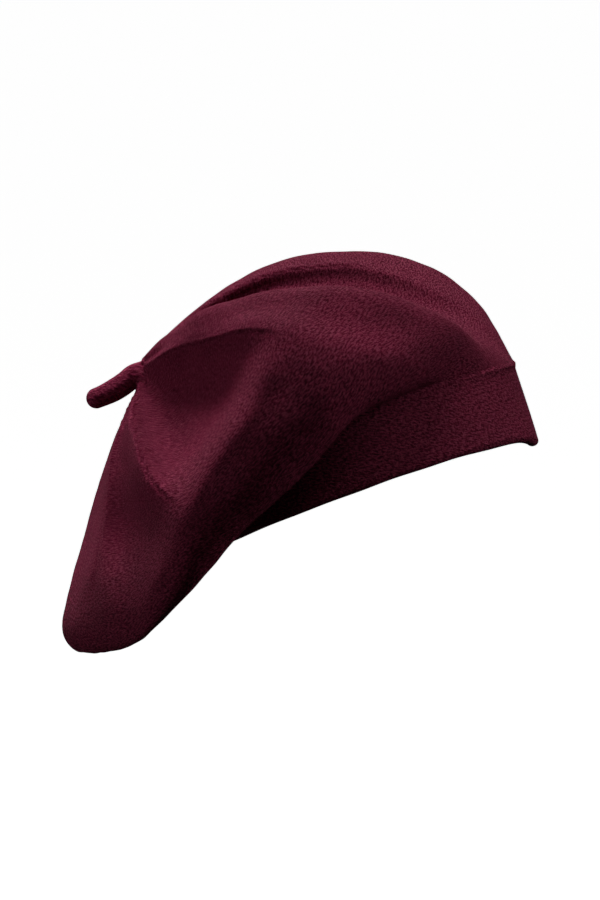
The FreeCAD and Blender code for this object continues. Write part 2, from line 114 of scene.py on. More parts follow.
def periodic(angles, vals, q):
    """Periodic cubic spline through vals at angles (degrees), read at q."""
    n = len(angles)
    x = np.array(angles, float)
    h = np.diff(np.r_[x, x[0] + 360])
    a = np.zeros((n, n))
    b = np.zeros((n, vals.shape[1]))
    for i in range(n):
        hp, hn = h[i - 1], h[i]
        a[i, (i - 1) % n] += hp
        a[i, i] += 2 * (hp + hn)
        a[i, (i + 1) % n] += hn
        b[i] = 6 * ((vals[(i + 1) % n] - vals[i]) / hn - (vals[i] - vals[i - 1]) / hp)
    m = np.linalg.solve(a, b)
    t = np.mod(q, 360)
    i = np.searchsorted(x, t, side="right") - 1
    j = (i + 1) % n
    d, w = (t - x[i])[:, None], (h[i] - (t - x[i]))[:, None]
    k = h[i][:, None]
    return m[i] * w ** 3 / (6 * k) + m[j] * d ** 3 / (6 * k) + (vals[i] / k - m[i] * k / 6) * w + (vals[j] / k - m[j] * k / 6) * d


def gaussian(values, width):
    """Smooths a closed ring table sampled each degree."""
    k = np.arange(-3 * width, 3 * width + 1)
    w = np.exp(-0.5 * (k / width) ** 2)
    w /= w.sum()
    return sum(wi * np.roll(values, int(ki)) for wi, ki in zip(w, k))


def ring(q, a, b, centre, pitch, table, width=5):
    """Oval ring at even shares of its own length; q in degrees."""
    f = np.linspace(0, 2 * np.pi, 1441)
    x, y = a * np.cos(f), b * np.sin(f)
    arc = np.r_[0, np.cumsum(np.hypot(np.diff(x), np.diff(y)))]
    phi = np.interp(np.mod(q, 360) / 360 * arc[-1], arc, np.degrees(f))
    deg = np.arange(360)
    d = np.minimum(deg, 360 - deg)
    r = gaussian(np.interp(d, [t[0] for t in table], [t[1] for t in table]), width)
    lift = np.interp(phi, np.r_[deg, 360], np.r_[r, r[0]])
    p = math.radians(pitch)
    x, y = a * np.cos(np.radians(phi)), -b * np.sin(np.radians(phi))
    return np.stack([centre[0] + x * math.cos(p), centre[1] + y, centre[2] + x * math.sin(p) + lift], -1)


def crown_points(theta, s):
    """Grid of points (theta, s, 3) of the outer surface, s from 0 at the stem to 10 at the headband."""
    ang = sorted(MERIDIANS)
    vals = np.array([[c for p in MERIDIANS[a] for c in p] for a in ang], float)
    pts = periodic(ang, vals, theta).reshape(len(theta), -1, 3)
    top = ring(theta, TOP_A, TOP_B, TOP_C, TOP_PITCH, RISE_TOP)
    pts = np.concatenate([pts, top[:, None]], 1)
    n = pts.shape[1]
    h = np.linalg.norm(np.diff(pts, axis=1), axis=2)
    a = np.zeros((len(theta), n, n))
    b = np.zeros((len(theta), n, 3))
    a[:, 0, 0] = a[:, -1, -1] = 1
    for i in range(1, n - 1):
        a[:, i, i - 1], a[:, i, i], a[:, i, i + 1] = h[:, i - 1], 2 * (h[:, i - 1] + h[:, i]), h[:, i]
        b[:, i] = 6 * ((pts[:, i + 1] - pts[:, i]) / h[:, i, None] - (pts[:, i] - pts[:, i - 1]) / h[:, i - 1, None])
    m = np.linalg.solve(a, b)
    i = np.minimum(s.astype(int), n - 2)
    k = h[:, i][..., None]
    x = (s - i)[None, :, None] * k
    w = k - x
    return m[:, i] * w ** 3 / (6 * k) + m[:, i + 1] * x ** 3 / (6 * k) + (pts[:, i] / k - m[:, i] * k / 6) * w + (pts[:, i + 1] / k - m[:, i + 1] * k / 6) * x


# columns: finer beside the six turning lines
theta = []
for k in range(6):
    t = np.r_[np.linspace(0, 2.5, 12, endpoint=False), np.linspace(2.5, 57.5, 66, endpoint=False), np.linspace(57.5, 60, 12, endpoint=False)]
    theta.append(60 * k + t)
THETA = np.concatenate(theta)
PER = len(THETA) // 6
NT = len(THETA)
# rows: about a millimetre apart
rows = [np.linspace(0.3, 1, 17, endpoint=False)]
for i, n in zip(range(1, 10), (24, 28, 26, 21, 17, 15, 15, 19, 34)):
    rows.append(np.linspace(i, i + 1, n, endpoint=False))
S = np.r_[np.concatenate(rows), 10.0]
J_RIM = int(np.argmin(abs(S - 5.0)))
J_MID = int(np.argmin(abs(S - 7.6)))
NS = len(S)


def d_theta(g):
    """Derivative along theta on the closed grid, per degree."""
    f = np.concatenate([g[-1:], g, g[:1]])
    t = np.r_[THETA[-1] - 360, THETA, THETA[0] + 360]
    return (f[2:] - f[:-2]) / (t[2:] - t[:-2])[:, None, None]


def d_s(g):
    out = np.empty_like(g)
    out[:, 1:-1] = g[:, 2:] - g[:, :-2]
    out[:, 0] = g[:, 1] - g[:, 0]
    out[:, -1] = g[:, -1] - g[:, -2]
    return out


def normals(g):
    n = np.cross(d_theta(g), d_s(g))
    return n / np.maximum(np.linalg.norm(n, axis=2, keepdims=True), 1e-9)


def noise_field(p, seed, scale):
    """Smooth repeatable noise over points p (mm), about -1 to 1."""
    rng = np.random.default_rng(seed)
    out = np.zeros(p.shape[:-1])
    for _ in range(14):
        k = rng.normal(size=3)
        k *= rng.uniform(0.7, 1.3) / np.linalg.norm(k) * 2 * np.pi / scale
        out += np.sin(p @ k + rng.uniform(0, 2 * np.pi))
    return out / 4.0


G0 = crown_points(THETA, S)
N0 = normals(G0)
ARC = np.concatenate([np.zeros((NT, 1)), np.cumsum(np.linalg.norm(np.diff(G0, axis=1), axis=2), axis=1)], 1)
ARC += np.linalg.norm(G0[:, 0] - ROOT, axis=1)[:, None]
step = np.linalg.norm(np.roll(G0, -1, axis=0) - G0, axis=2)
CIRC = np.zeros((NT, NS))                      # distance from the segment's first turning line
for k in range(6):
    c = np.cumsum(step[k * PER:(k + 1) * PER], axis=0)
    CIRC[k * PER + 1:(k + 1) * PER] = c[:-1]
LOCAL = np.tile(np.arange(PER), 6)
WIDTH = np.repeat(np.stack([step[k * PER:(k + 1) * PER].sum(0) for k in range(6)]), PER, axis=0)
LINE_D = np.minimum(CIRC, WIDTH - CIRC)        # distance to the nearest turning line

# the turning lines: a small jagged step of wrapped stitches from the stem to the rim
fade = smooth(ARC, 11, 24) * (1 - smooth(S[None, :] * np.ones((NT, 1)), 4.35, 4.95))
phase = ARC / 6.2 + 0.12 * np.sin(ARC / 5.3)
saw = phase - np.floor(phase)
side = np.where(CIRC <= WIDTH - CIRC, 1.0, -1.0)  # +1 just past a line
x_line = side * LINE_D - (saw - 0.5) * 2.6
dash = smooth(saw, 0.0, 0.22) * (1 - smooth(saw, 0.74, 1.0))
groove = np.exp(-(x_line / 0.85) ** 2) * (0.25 + 0.75 * dash)
lip = np.exp(-((side * LINE_D + 2.0) / 1.6) ** 2) * (0.7 + 0.3 * np.cos(2 * np.pi * saw))
lines = fade * (0.62 * lip - 1.15 * groove)
G1 = G0 + N0 * lines[..., None]
G1 += N0 * (0.32 * noise_field(G0, 7, 38.0) + 0.12 * noise_field(G0, 11, 13.0))[..., None] * smooth(10 - S, 0.0, 1.2)[None, :, None]

# ---------------------------------------------------------------- how the cloth has settled
TH = THETA[:, None] * np.ones((1, NS))
SS = S[None, :] * np.ones((NT, 1))


def hollow(t0, in0, t1, in1, s0, ramp0, s1, ramp1):
    """0..1 mask: rises over in0 degrees past t0, falls over in1 before t1, and the same along s."""
    return (smooth(TH, t0, t0 + in0) * (1 - smooth(TH, t1 - in1, t1))
            * smooth(SS, s0, s0 + ramp0) * (1 - smooth(SS, s1 - ramp1, s1)))


# a sharp step down in front of the first line
step_down = hollow(0.3, 5.0, 25.0, 20.0, 0.8, 1.6, 9.3, 3.2)
G1 = G1 - np.array([0.0, 0.0, 1.0]) * (4.1 * step_down)[..., None]
undercut = hollow(0.0, 4.5, 22.0, 15.0, 1.0, 1.6, 8.6, 3.8)
G1 = G1 + np.array([0.0, 1.0, 0.0]) * (6.3 * undercut)[..., None]
# dishes between the lines on the near side, pressed inwards
dish = hollow(60.3, 6.5, 121.0, 9.0, 0.8, 1.4, 5.02, 1.12)
dish2 = hollow(120.6, 8.0, 178.0, 22.0, 1.4, 1.4, 5.0, 1.15)
G1 = G1 + np.array([0.0, 1.0, 0.0]) * (4.5 * dish + 2.5 * dish2)[..., None]
far = hollow(240.0, 12.0, 300.0, 16.0, 0.9, 1.3, 4.6, 1.2)
far2 = hollow(184.0, 26.0, 240.0, 12.0, 1.5, 1.3, 4.6, 1.3)
G1 = G1 - np.array([0.0, 1.0, 0.0]) * (6.0 * far + 5.0 * far2)[..., None]
# the front face stays full down to the fold over the band
bulge = hollow(44.0, 14.0, 94.0, 24.0, 5.2, 2.2, 9.1, 1.7)
G1 = G1 - np.array([0.0, 1.0, 0.0]) * (2.4 * bulge)[..., None]
# the second ridge turns over quickly, then the cloth runs down evenly
below = hollow(30.5, 13.0, 59.0, 13.0, 2.8, 1.4, 8.2, 1.6)
G1 = G1 + np.array([0.0, 1.0, 0.0]) * (3.0 * below)[..., None]
# the rim stands up as a crest between the dishes and the front face
crest = hollow(63.0, 10.0, 170.0, 30.0, -1.0, 0.5, 12.0, 0.5) * np.exp(-((SS - 5.0) / 0.55) ** 2)
G1 = G1 - np.array([0.0, 1.0, 0.0]) * (4.2 * crest)[..., None]
# cloth drawn up round the stem
# the crest lies well forward of the dishes
forward = hollow(66.0, 26.0, 172.0, 20.0, -1.0, 0.5, 12.0, 0.5) * np.exp(-((SS - 4.9) / 0.85) ** 2)
G1 = G1 + np.array([1.0, 0.0, 0.0]) * ((6.5 - 1.2 * smooth(TH, 112.0, 130.0)) * forward)[..., None]
DRAW, DRAW_W, DRAW_T = 3.9, 7.2, 5.0
toward = 0.5 + 0.5 * np.cos(np.radians(TH))
G1 = G1 + DISC_N * (DRAW * np.exp(-(ARC / (DRAW_W + DRAW_T * toward)) ** 2))[..., None]

# the cloth falls away steeply under the stem
under_stem = np.exp(-((ARC - 24.0) / 15.0) ** 2) * smooth(np.cos(np.radians(TH - 180.0)), 0.55, 0.95)
G1 = G1 - N0 * (1.5 * under_stem)[..., None]

NRM = normals(G1)
# fabric keeps an even thickness
INNER = G1 - NRM * CROWN_T


# ---------------------------------------------------------------- mesh building
def new_mesh(name, verts, faces, vnormals=None, uvs=None, attrs=None):
    me = bpy.data.meshes.new(name)
    me.from_pydata((verts * MM).tolist(), [], faces)
    me.validate()
    me.update()
    me.shade_smooth()
    loops = np.empty(len(me.loops), np.int64)
    me.loops.foreach_get("vertex_index", loops)
    if uvs is not None:
        layer = me.uv_layers.new(name="Knit")
        layer.data.foreach_set("uv", uvs[loops].astype(np.float32).ravel())
    for key, val in (attrs or {}).items():
        a = me.attributes.new(key, "FLOAT", "POINT")
        a.data.foreach_set("value", np.asarray(val, np.float32))
    if vnormals is not None:
        me.normals_split_custom_set_from_vertices(vnormals.tolist())
    ob = bpy.data.objects.new(name, me)
    bpy.context.scene.collection.objects.link(ob)
    return ob


def shell(name, cols, rows, closed, out_pts, in_pts, out_nrm, uv, attrs):
    """Closed two-layer piece of the grid: columns cols, rows rows (index arrays)."""
    nc, nr = len(cols), len(rows)
    ix = np.ix_(cols, rows)
    po, pi, no = out_pts[ix], in_pts[ix], out_nrm[ix]
    verts = np.concatenate([po.reshape(-1, 3), pi.reshape(-1, 3)])
    nrm = np.concatenate([no.reshape(-1, 3), -no.reshape(-1, 3)])
    off = nc * nr

    def quad_grid(base, flip):
        c = np.arange(nc if closed else nc - 1)
        r = np.arange(nr - 1)
        C, R = np.meshgrid(c, r, indexing="ij")
        C2 = (C + 1) % nc
        q = np.stack([C * nr + R, C2 * nr + R, C2 * nr + R + 1, C * nr + R + 1], -1).reshape(-1, 4) + base
        return q[:, ::-1] if flip else q

    faces = [quad_grid(0, False), quad_grid(off, True)]

    def wall(a, b, flip):
        q = np.stack([a, b, b + off, a + off], -1)
        return q[:, ::-1] if flip else q

    c = np.arange(nc if closed else nc - 1)
    c2 = (c + 1) % nc
    faces.append(wall(c * nr, c2 * nr, True))
    faces.append(wall(c * nr + nr - 1, c2 * nr + nr - 1, False))
    if not closed:
        r = np.arange(nr - 1)
        faces.append(wall(r, r + 1, False))
        faces.append(wall((nc - 1) * nr + r, (nc - 1) * nr + r + 1, True))
    faces = np.concatenate(faces)
    uu = np.concatenate([uv[ix].reshape(-1, 2)] * 2)
    at = {k: np.concatenate([v[ix].ravel()] * 2) for k, v in attrs.items()}
    at["side"] = np.r_[np.zeros(off), np.ones(off)]
    return new_mesh(name, verts, faces.tolist(), nrm, uu, at)


# stitch coordinates: u counts courses round the hat, v counts wales out from the stem
COURSE, WALE = 1.45, 1.9
rimw = WIDTH[:, J_RIM][:, None]
rimc = CIRC[:, J_RIM][:, None]
U = CIRC / COURSE
beyond = np.arange(NS)[None, :] > J_RIM
U = np.where(beyond, rimc / COURSE, U) + 200.0 * np.repeat(np.arange(6), PER)[:, None]
V = ARC / WALE
UV = np.stack([U, V], -1)
FELT = (1 - smooth(SS, 3.9, 5.1)) * (1 - 0.5 * smooth(SS, 2.2, 3.6) * smooth(np.cos(np.radians(TH)), 0.35, 0.9))
ATTR = {"line": np.exp(-(LINE_D / 1.6) ** 2) * fade, "arc": ARC, "felt": FELT}
OUT_N = NRM

# ---------------------------------------------------------------- materials
def node_tree(name):
    m = bpy.data.materials.new(name)
    m.use_nodes = True
    nt = m.node_tree
    bsdf = nt.nodes["Principled BSDF"]
    return m, nt, bsdf


class Graph:
    def __init__(self, nt):
        self.nt = nt

    def n(self, kind, **kw):
        node = self.nt.nodes.new(kind)
        for k, v in kw.items():
            setattr(node, k, v)
        return node

    def link(self, a, b):
        self.nt.links.new(a, b)

    def math(self, op, a, b=None, c=None, clamp=False):
        node = self.n("ShaderNodeMath", operation=op, use_clamp=clamp)
        for i, v in enumerate((a, b, c)):
            if v is None:
                continue
            if isinstance(v, (int, float)):
                node.inputs[i].default_value = v
            else:
                self.link(v, node.inputs[i])
        return node.outputs[0]

    def noise(self, vec, scale, detail=3.0, rough=0.55):
        node = self.n("ShaderNodeTexNoise")
        self.link(vec, node.inputs["Vector"])
        node.inputs["Scale"].default_value = scale
        node.inputs["Detail"].default_value = detail
        node.inputs["Roughness"].default_value = rough
        return node.outputs["Fac"]

    def ramp(self, fac, stops):
        node = self.n("ShaderNodeValToRGB")
        el = node.color_ramp.elements
        while len(el) < len(stops):
            el.new(0.5)
        for e, (p, col) in zip(el, stops):
            e.position = p
            e.color = (*col, 1) if len(col) == 3 else col
        self.link(fac, node.inputs["Fac"])
        return node.outputs["Color"]

    def mix(self, fac, a, b, blend="MIX"):
        node = self.n("ShaderNodeMix", data_type="RGBA", blend_type=blend)
        for sock, v in ((node.inputs[0], fac), (node.inputs[6], a), (node.inputs[7], b)):
            if isinstance(v, (int, float)):
                sock.default_value = v
            elif isinstance(v, tuple):
                sock.default_value = (*v, 1)
            else:
                self.link(v, sock)
        return node.outputs[2]


def knit_material(name, base, furrow_shade, tip_highlight, relief=1.0, purl=False, sheen=0.14, felt=None):
    m, nt, bsdf = node_tree(name)
    g = Graph(nt)
    uvn = g.n("ShaderNodeUVMap", uv_map="Knit")
    sep = g.n("ShaderNodeSeparateXYZ")
    g.link(uvn.outputs["UV"], sep.inputs[0])
    tex = g.n("ShaderNodeTexCoord")
    obj = tex.outputs["Object"]
    if felt is None:
        fa = g.n("ShaderNodeAttribute", attribute_name="felt").outputs["Fac"]
    else:
        fa = felt
    grain = g.math("SUBTRACT", 1.0, g.math("MULTIPLY", fa, 0.56))                  # felted cloth shows less stitch
    # yarn wanders a little, so no two stitches are the same
    wob = g.math("MULTIPLY", g.math("SUBTRACT", g.noise(obj, 430, 3), 0.5), 2.0)
    wob2 = g.math("MULTIPLY", g.math("SUBTRACT", g.noise(obj, 380, 3), 0.5), 1.6)
    u = g.math("ADD", sep.outputs[0], wob)
    v = g.math("ADD", sep.outputs[1], wob2)
    fv = g.math("FRACT", v)
    p = g.math("MULTIPLY", g.math("ABSOLUTE", g.math("SUBTRACT", fv, 0.5)), 2.0)   # 0 at a wale's centre
    slant = g.math("ADD", u, g.math("MULTIPLY", p, 0.0 if purl else 0.62))
    fu = g.math("FRACT", slant)
    strand = g.math("SINE", g.math("MULTIPLY", fu, math.pi))                        # across one leg
    leg = g.math("ABSOLUTE", g.math("SINE", g.math("MULTIPLY", fv, math.pi)))       # dark furrow between wales
    leg = g.math("POWER", g.math("MAXIMUM", leg, 0.001), 0.7)
    stitch = g.math("MULTIPLY", leg, g.math("ADD", 0.35, g.math("MULTIPLY", strand, 0.65)))
    fibre = g.noise(obj, 2300, 3, 0.7)
    clump = g.noise(obj, 980, 3, 0.65)
    # raised loops lie in short streaks, a little aslant to the wales
    um = g.math("MULTIPLY", sep.outputs[0], COURSE)
    vm = g.math("MULTIPLY", sep.outputs[1], WALE)
    ca, sa = math.cos(math.radians(-24)), math.sin(math.radians(-24))
    along = g.math("ADD", g.math("MULTIPLY", um, ca * 0.50), g.math("MULTIPLY", vm, sa * 0.50))
    across = g.math("ADD", g.math("MULTIPLY", um, -sa * 1.45), g.math("MULTIPLY", vm, ca * 1.45))
    comb = g.n("ShaderNodeCombineXYZ")
    g.link(along, comb.inputs[0])
    g.link(across, comb.inputs[1])
    streak = g.noise(comb.outputs[0], 1.0, 3, 0.62)
    hgt = g.math("MULTIPLY", g.math("SUBTRACT", stitch, 0.45), 0.42)
    hgt = g.math("ADD", hgt, g.math("MULTIPLY", g.math("SUBTRACT", fibre, 0.5), 1.2))
    hgt = g.math("ADD", hgt, g.math("MULTIPLY", g.math("SUBTRACT", clump, 0.5), 1.1))
    hgt = g.math("ADD", hgt, g.math("MULTIPLY", g.math("SUBTRACT", streak, 0.5), 3.8))
    hgt = g.math("ADD", 0.5, g.math("MULTIPLY", hgt, grain))
    bump = g.n("ShaderNodeBump")
    bump.inputs["Strength"].default_value = 1.0
    bump.inputs["Distance"].default_value = 0.00190 * relief
    g.link(hgt, bump.inputs["Height"])
    g.link(bump.outputs[0], bsdf.inputs["Normal"])
    # colour: painted shade in the furrows between the legs, painted highlight on the raised fibre tips, slow dye
    # variation
    shade_and_highlight = g.ramp(hgt, [(0.14, furrow_shade), (0.5, base), (0.84, tip_highlight)])
    big = g.noise(obj, 24, 3)
    tone = g.ramp(big, [(0.3, (0.90, 0.90, 0.92)), (0.7, (1.08, 1.07, 1.07))])
    col = g.mix(1.0, shade_and_highlight, tone, "MULTIPLY")
    fleck = g.ramp(g.noise(obj, 1700, 2, 0.8), [(0.6, (0, 0, 0)), (0.82, (1, 1, 1))])
    col = g.mix(g.math("MULTIPLY", fleck, 0.3), col, (0.36, 0.075, 0.125))
    g.link(col, bsdf.inputs["Base Color"])
    rough = g.math("ADD", 0.78, g.math("MULTIPLY", clump, 0.2))
    g.link(rough, bsdf.inputs["Roughness"])
    bsdf.inputs["Specular IOR Level"].default_value = 0.03
    bsdf.inputs["Sheen Weight"].default_value = sheen
    bsdf.inputs["Sheen Roughness"].default_value = 0.55
    bsdf.inputs["Sheen Tint"].default_value = (0.55, 0.08, 0.15, 1)
    return m


# knit colours: the yarn's own colour, painted shade for the stitch furrows, and a painted highlight for the raised
# fibre tips
BASE = (0.190, 0.0152, 0.0470)
FURROW_SHADE = (0.062, 0.0006, 0.0120)
TIP_HIGHLIGHT = (0.350, 0.0530, 0.1000)
MAT_KNIT = knit_material("wool_knit", BASE, FURROW_SHADE, TIP_HIGHLIGHT)
MAT_IN = knit_material("wool_knit_wrong_side", BASE, FURROW_SHADE, TIP_HIGHLIGHT, purl=True)


def plain_material(name, col, scale=900, rough=0.8, bumpd=0.0002, stretch=(1, 1, 1), sheen=0.2):
    m, nt, bsdf = node_tree(name)
    g = Graph(nt)
    tex = g.n("ShaderNodeTexCoord")
    mp = g.n("ShaderNodeMapping")
    mp.inputs["Scale"].default_value = stretch
    g.link(tex.outputs["Object"], mp.inputs[0])
    f = g.noise(mp.outputs[0], scale, 4, 0.6)
    c = g.ramp(f, [(0.25, tuple(x * 0.55 for x in col)), (0.75, tuple(min(1, x * 1.3) for x in col))])
    g.link(c, bsdf.inputs["Base Color"])
    bump = g.n("ShaderNodeBump")
    bump.inputs["Strength"].default_value = 0.7
    bump.inputs["Distance"].default_value = bumpd
    g.link(f, bump.inputs["Height"])
    g.link(bump.outputs[0], bsdf.inputs["Normal"])
    r = g.math("ADD", rough - 0.1, g.math("MULTIPLY", f, 0.2))
    g.link(r, bsdf.inputs["Roughness"])
    bsdf.inputs["Specular IOR Level"].default_value = 0.2
    bsdf.inputs["Sheen Weight"].default_value = sheen
    return m


MAT_YARN = plain_material("linking_yarn", (0.12, 0.012, 0.026), 1500)
MAT_ELASTIC = plain_material("covered_elastic", (0.08, 0.01, 0.02), 2500, 0.6)


def label_material():
    m, nt, bsdf = node_tree("woven_label_tape")
    g = Graph(nt)
    tex = g.n("ShaderNodeTexCoord")
    waves = []
    for axis, sc in (("Y", 3200.0), ("Z", 2400.0)):
        sepn = g.n("ShaderNodeSeparateXYZ")
        g.link(tex.outputs["Object"], sepn.inputs[0])
        waves.append(g.math("SINE", g.math("MULTIPLY", sepn.outputs[1 if axis == "Y" else 2], sc * 2)))
    weave = g.math("ADD", 0.5, g.math("MULTIPLY", g.math("MULTIPLY", waves[0], waves[1]), 0.5))
    n = g.noise(tex.outputs["Object"], 700, 3)
    f = g.math("ADD", g.math("MULTIPLY", weave, 0.6), g.math("MULTIPLY", n, 0.4))
    c = g.ramp(f, [(0.2, (0.5, 0.47, 0.43)), (0.7, (0.76, 0.73, 0.69))])
    g.link(c, bsdf.inputs["Base Color"])
    bump = g.n("ShaderNodeBump")
    bump.inputs["Strength"].default_value = 0.5
    bump.inputs["Distance"].default_value = 0.00006
    g.link(f, bump.inputs["Height"])
    g.link(bump.outputs[0], bsdf.inputs["Normal"])
    g.link(g.math("ADD", 0.42, g.math("MULTIPLY", n, 0.2)), bsdf.inputs["Roughness"])
    bsdf.inputs["Sheen Weight"].default_value = 0.3
    return m


MAT_LABEL = label_material()


def two_sided(ob, front, back):
    """The right side of the knitting outside, the wrong side inside."""
    ob.data.materials.append(front)
    ob.data.materials.append(back)
    n = len(ob.data.polygons)
    half = np.array([ob.data.attributes["side"].data[p.vertices[0]].value for p in ob.data.polygons]) if n < 1 else None
    side = np.empty(len(ob.data.vertices), np.float32)
    ob.data.attributes["side"].data.foreach_get("value", side)
    loops = np.empty(len(ob.data.loops), np.int64)
    ob.data.loops.foreach_get("vertex_index", loops)
    start = np.empty(n, np.int64)
    ob.data.polygons.foreach_get("loop_start", start)
    tot = np.empty(n, np.int64)
    ob.data.polygons.foreach_get("loop_total", tot)
    s = np.add.reduceat(side[loops], start) / tot
    ob.data.polygons.foreach_set("material_index", (s > 0.6).astype(np.int32))
    ob.data.update()


# ---------------------------------------------------------------- crown segments
J0 = 0
for k in range(6):
    cols = (np.arange(k * PER, (k + 1) * PER + 1)) % NT
    rows_k = np.arange(J0, J_RIM + 1)
    uv = UV.copy()
    if True:                       # the last column belongs to this segment's own stitches
        last = cols[-1]
        uv[last, :, 0] = (WIDTH[k * PER] / COURSE) + 200.0 * k
    ob = shell("crown_segment_%d_knit" % (k + 1), cols, rows_k, False, G1, INNER, OUT_N, uv, ATTR)
    two_sided(ob, MAT_KNIT, MAT_IN)
    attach(ob, "crown")
    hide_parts("crown_segment_%d" % (k + 1))

# ---------------------------------------------------------------- underside, in two rings
def ring_uv():
    uv = UV.copy()
    frac = (CIRC[:, J_RIM] + 0.0)
    total = np.concatenate([frac[k * PER:(k + 1) * PER] + sum(WIDTH[m * PER, J_RIM] for m in range(k)) for k in range(6)])
    uv[:, :, 0] = (total / COURSE)[:, None]
    return uv


RUV = ring_uv()


def open_ring(name, j0, j1):
    """A ring that is cut at column 0 in its stitch coordinates only."""
    cols = np.r_[np.arange(NT), 0]
    uv = RUV[np.r_[np.arange(NT), 0]].copy()
    uv[-1, :, 0] = RUV[-1, :, 0] + (RUV[1, :, 0] - RUV[0, :, 0])
    pts, inn, nr = G1[cols], INNER[cols], OUT_N[cols]
    at = {k: v[cols] for k, v in ATTR.items()}
    idx = np.arange(NT + 1)
    ob = shell(name, idx, np.arange(j0, j1 + 1), False, pts, inn, nr, uv, at)
    two_sided(ob, MAT_KNIT, MAT_IN)
    return ob


def weights(ob, rows, w_of_row):
    """Blend weight per grid row (both layers)."""
    nr = len(rows)
    nc = NT + 1
    w = np.tile(np.asarray(w_of_row, np.float32), nc)
    a = ob.data.attributes["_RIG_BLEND"]
    a.data.foreach_set("value", np.concatenate([w, w]))


und_up = open_ring("crown_underside_outer_knit", J_RIM, J_MID)
und_lo = open_ring("crown_underside_inner_knit", J_MID, NS - 1)
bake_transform(und_up, "underside", "crown", start=(0, 0, 0), end=(0, 0, 0.05))
t = (ARC.mean(0)[J_RIM:J_MID + 1] - ARC.mean(0)[J_RIM]) / (ARC.mean(0)[J_MID] - ARC.mean(0)[J_RIM])
weights(und_up, np.arange(J_RIM, J_MID + 1), 1 - smooth(t, 0, 1))
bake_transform(und_lo, "headband", "underside", start=(0, 0, 0), end=(0, 0, 0.05))
t = (ARC.mean(0)[J_MID:] - ARC.mean(0)[J_MID]) / (ARC.mean(0)[-1] - ARC.mean(0)[J_MID])
weights(und_lo, np.arange(J_MID, NS), 1 - smooth(t, 0, 1))
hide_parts("crown_underside")

# ---------------------------------------------------------------- the doubled headband
BT = ring(THETA, TOP_A, TOP_B, TOP_C, TOP_PITCH, RISE_TOP)
BE = ring(THETA, EDGE_A, EDGE_B, EDGE_C, EDGE_PITCH, RISE_EDGE)
dth = d_theta(BT[:, None])[:, 0]
bn = np.cross(dth, BE - BT)
bn /= np.linalg.norm(bn, axis=1, keepdims=True)
# section: up the inside, over the top edge hidden in the hem, down the outside, round the fold
sec = []
OT, GAPH, IT = 2.2, 1.2, 2.0
DEPTH_IN = OT + GAPH + IT
F_FOLD = 1.0 - DEPTH_IN / 2 * 0.75 / np.linalg.norm(BE - BT, axis=1).mean()
for f in np.linspace(0.0, F_FOLD, 34):                  # outer face, top to fold
    sec.append((f, 0.0))
fold_r = DEPTH_IN / 2
H_BAND = np.linalg.norm(BE - BT, axis=1).mean()
for a in np.linspace(0, np.pi, 12)[1:-1]:
    sec.append((1.0 - (1 - math.sin(a)) * fold_r * 0.75 / H_BAND, fold_r * (1 - math.cos(a))))
for f in np.linspace(F_FOLD, 0.10, 31):                 # inner face, fold to its top edge
    sec.append((f, DEPTH_IN))
sec = np.array(sec)
NB = len(sec)
lean = 0.35 * np.sin(np.linspace(0, 1, NB) * np.pi)
band_o = BT[:, None] + (BE - BT)[:, None] * sec[None, :, 0:1] - bn[:, None] * sec[None, :, 1:2]
band_arc = np.concatenate([np.zeros((NT, 1)), np.cumsum(np.linalg.norm(np.diff(band_o, axis=1), axis=2), axis=1)], 1)
band_n = normals(band_o)
prof_b = np.exp(-((band_arc - 1.4) / 1.1) ** 2) * 0.85 * smooth(np.cos(np.radians(THETA)), -0.35, 0.2)[:, None]     # faint welt along the top line, where it shows
band_o = band_o + band_n * (prof_b + 0.22 * noise_field(band_o, 5, 30.0))[..., None]
back_top = smooth(-np.cos(np.radians(THETA)), 0.2, 0.6)[:, None] * (1 - smooth(band_arc, 0.0, 9.0))
band_o = band_o - band_n * (0.5 * back_top)[..., None] - np.array([0.0, 0.0, 0.9]) * back_top[..., None]
band_n = normals(band_o)
core = np.minimum(1.9, 0.92 * OT) * np.ones(NB)
band_i = band_o - band_n * 1.9
bcirc = np.r_[0, np.cumsum(np.linalg.norm(np.diff(BT, axis=0), axis=1))]
buv = np.stack([np.repeat(bcirc[:, None] / COURSE, NB, 1), (ARC.mean(0)[-1] + band_arc) / WALE], -1)
cols = np.r_[np.arange(NT), 0]
buv2 = buv[cols].copy()
buv2[-1, :, 0] = buv[-1, :, 0] + (buv[1, :, 0] - buv[0, :, 0])
zero = {"line": np.zeros((NT + 1, NB)), "arc": band_arc[cols], "felt": np.zeros((NT + 1, NB))}
band = shell("headband_doubled_knit", np.arange(NT + 1), np.arange(NB), False, band_o[cols], band_i[cols], band_n[cols], buv2, zero)
two_sided(band, MAT_KNIT, MAT_IN)
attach(band, "headband")
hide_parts("headband_outer_layer", "headband_inner_layer")


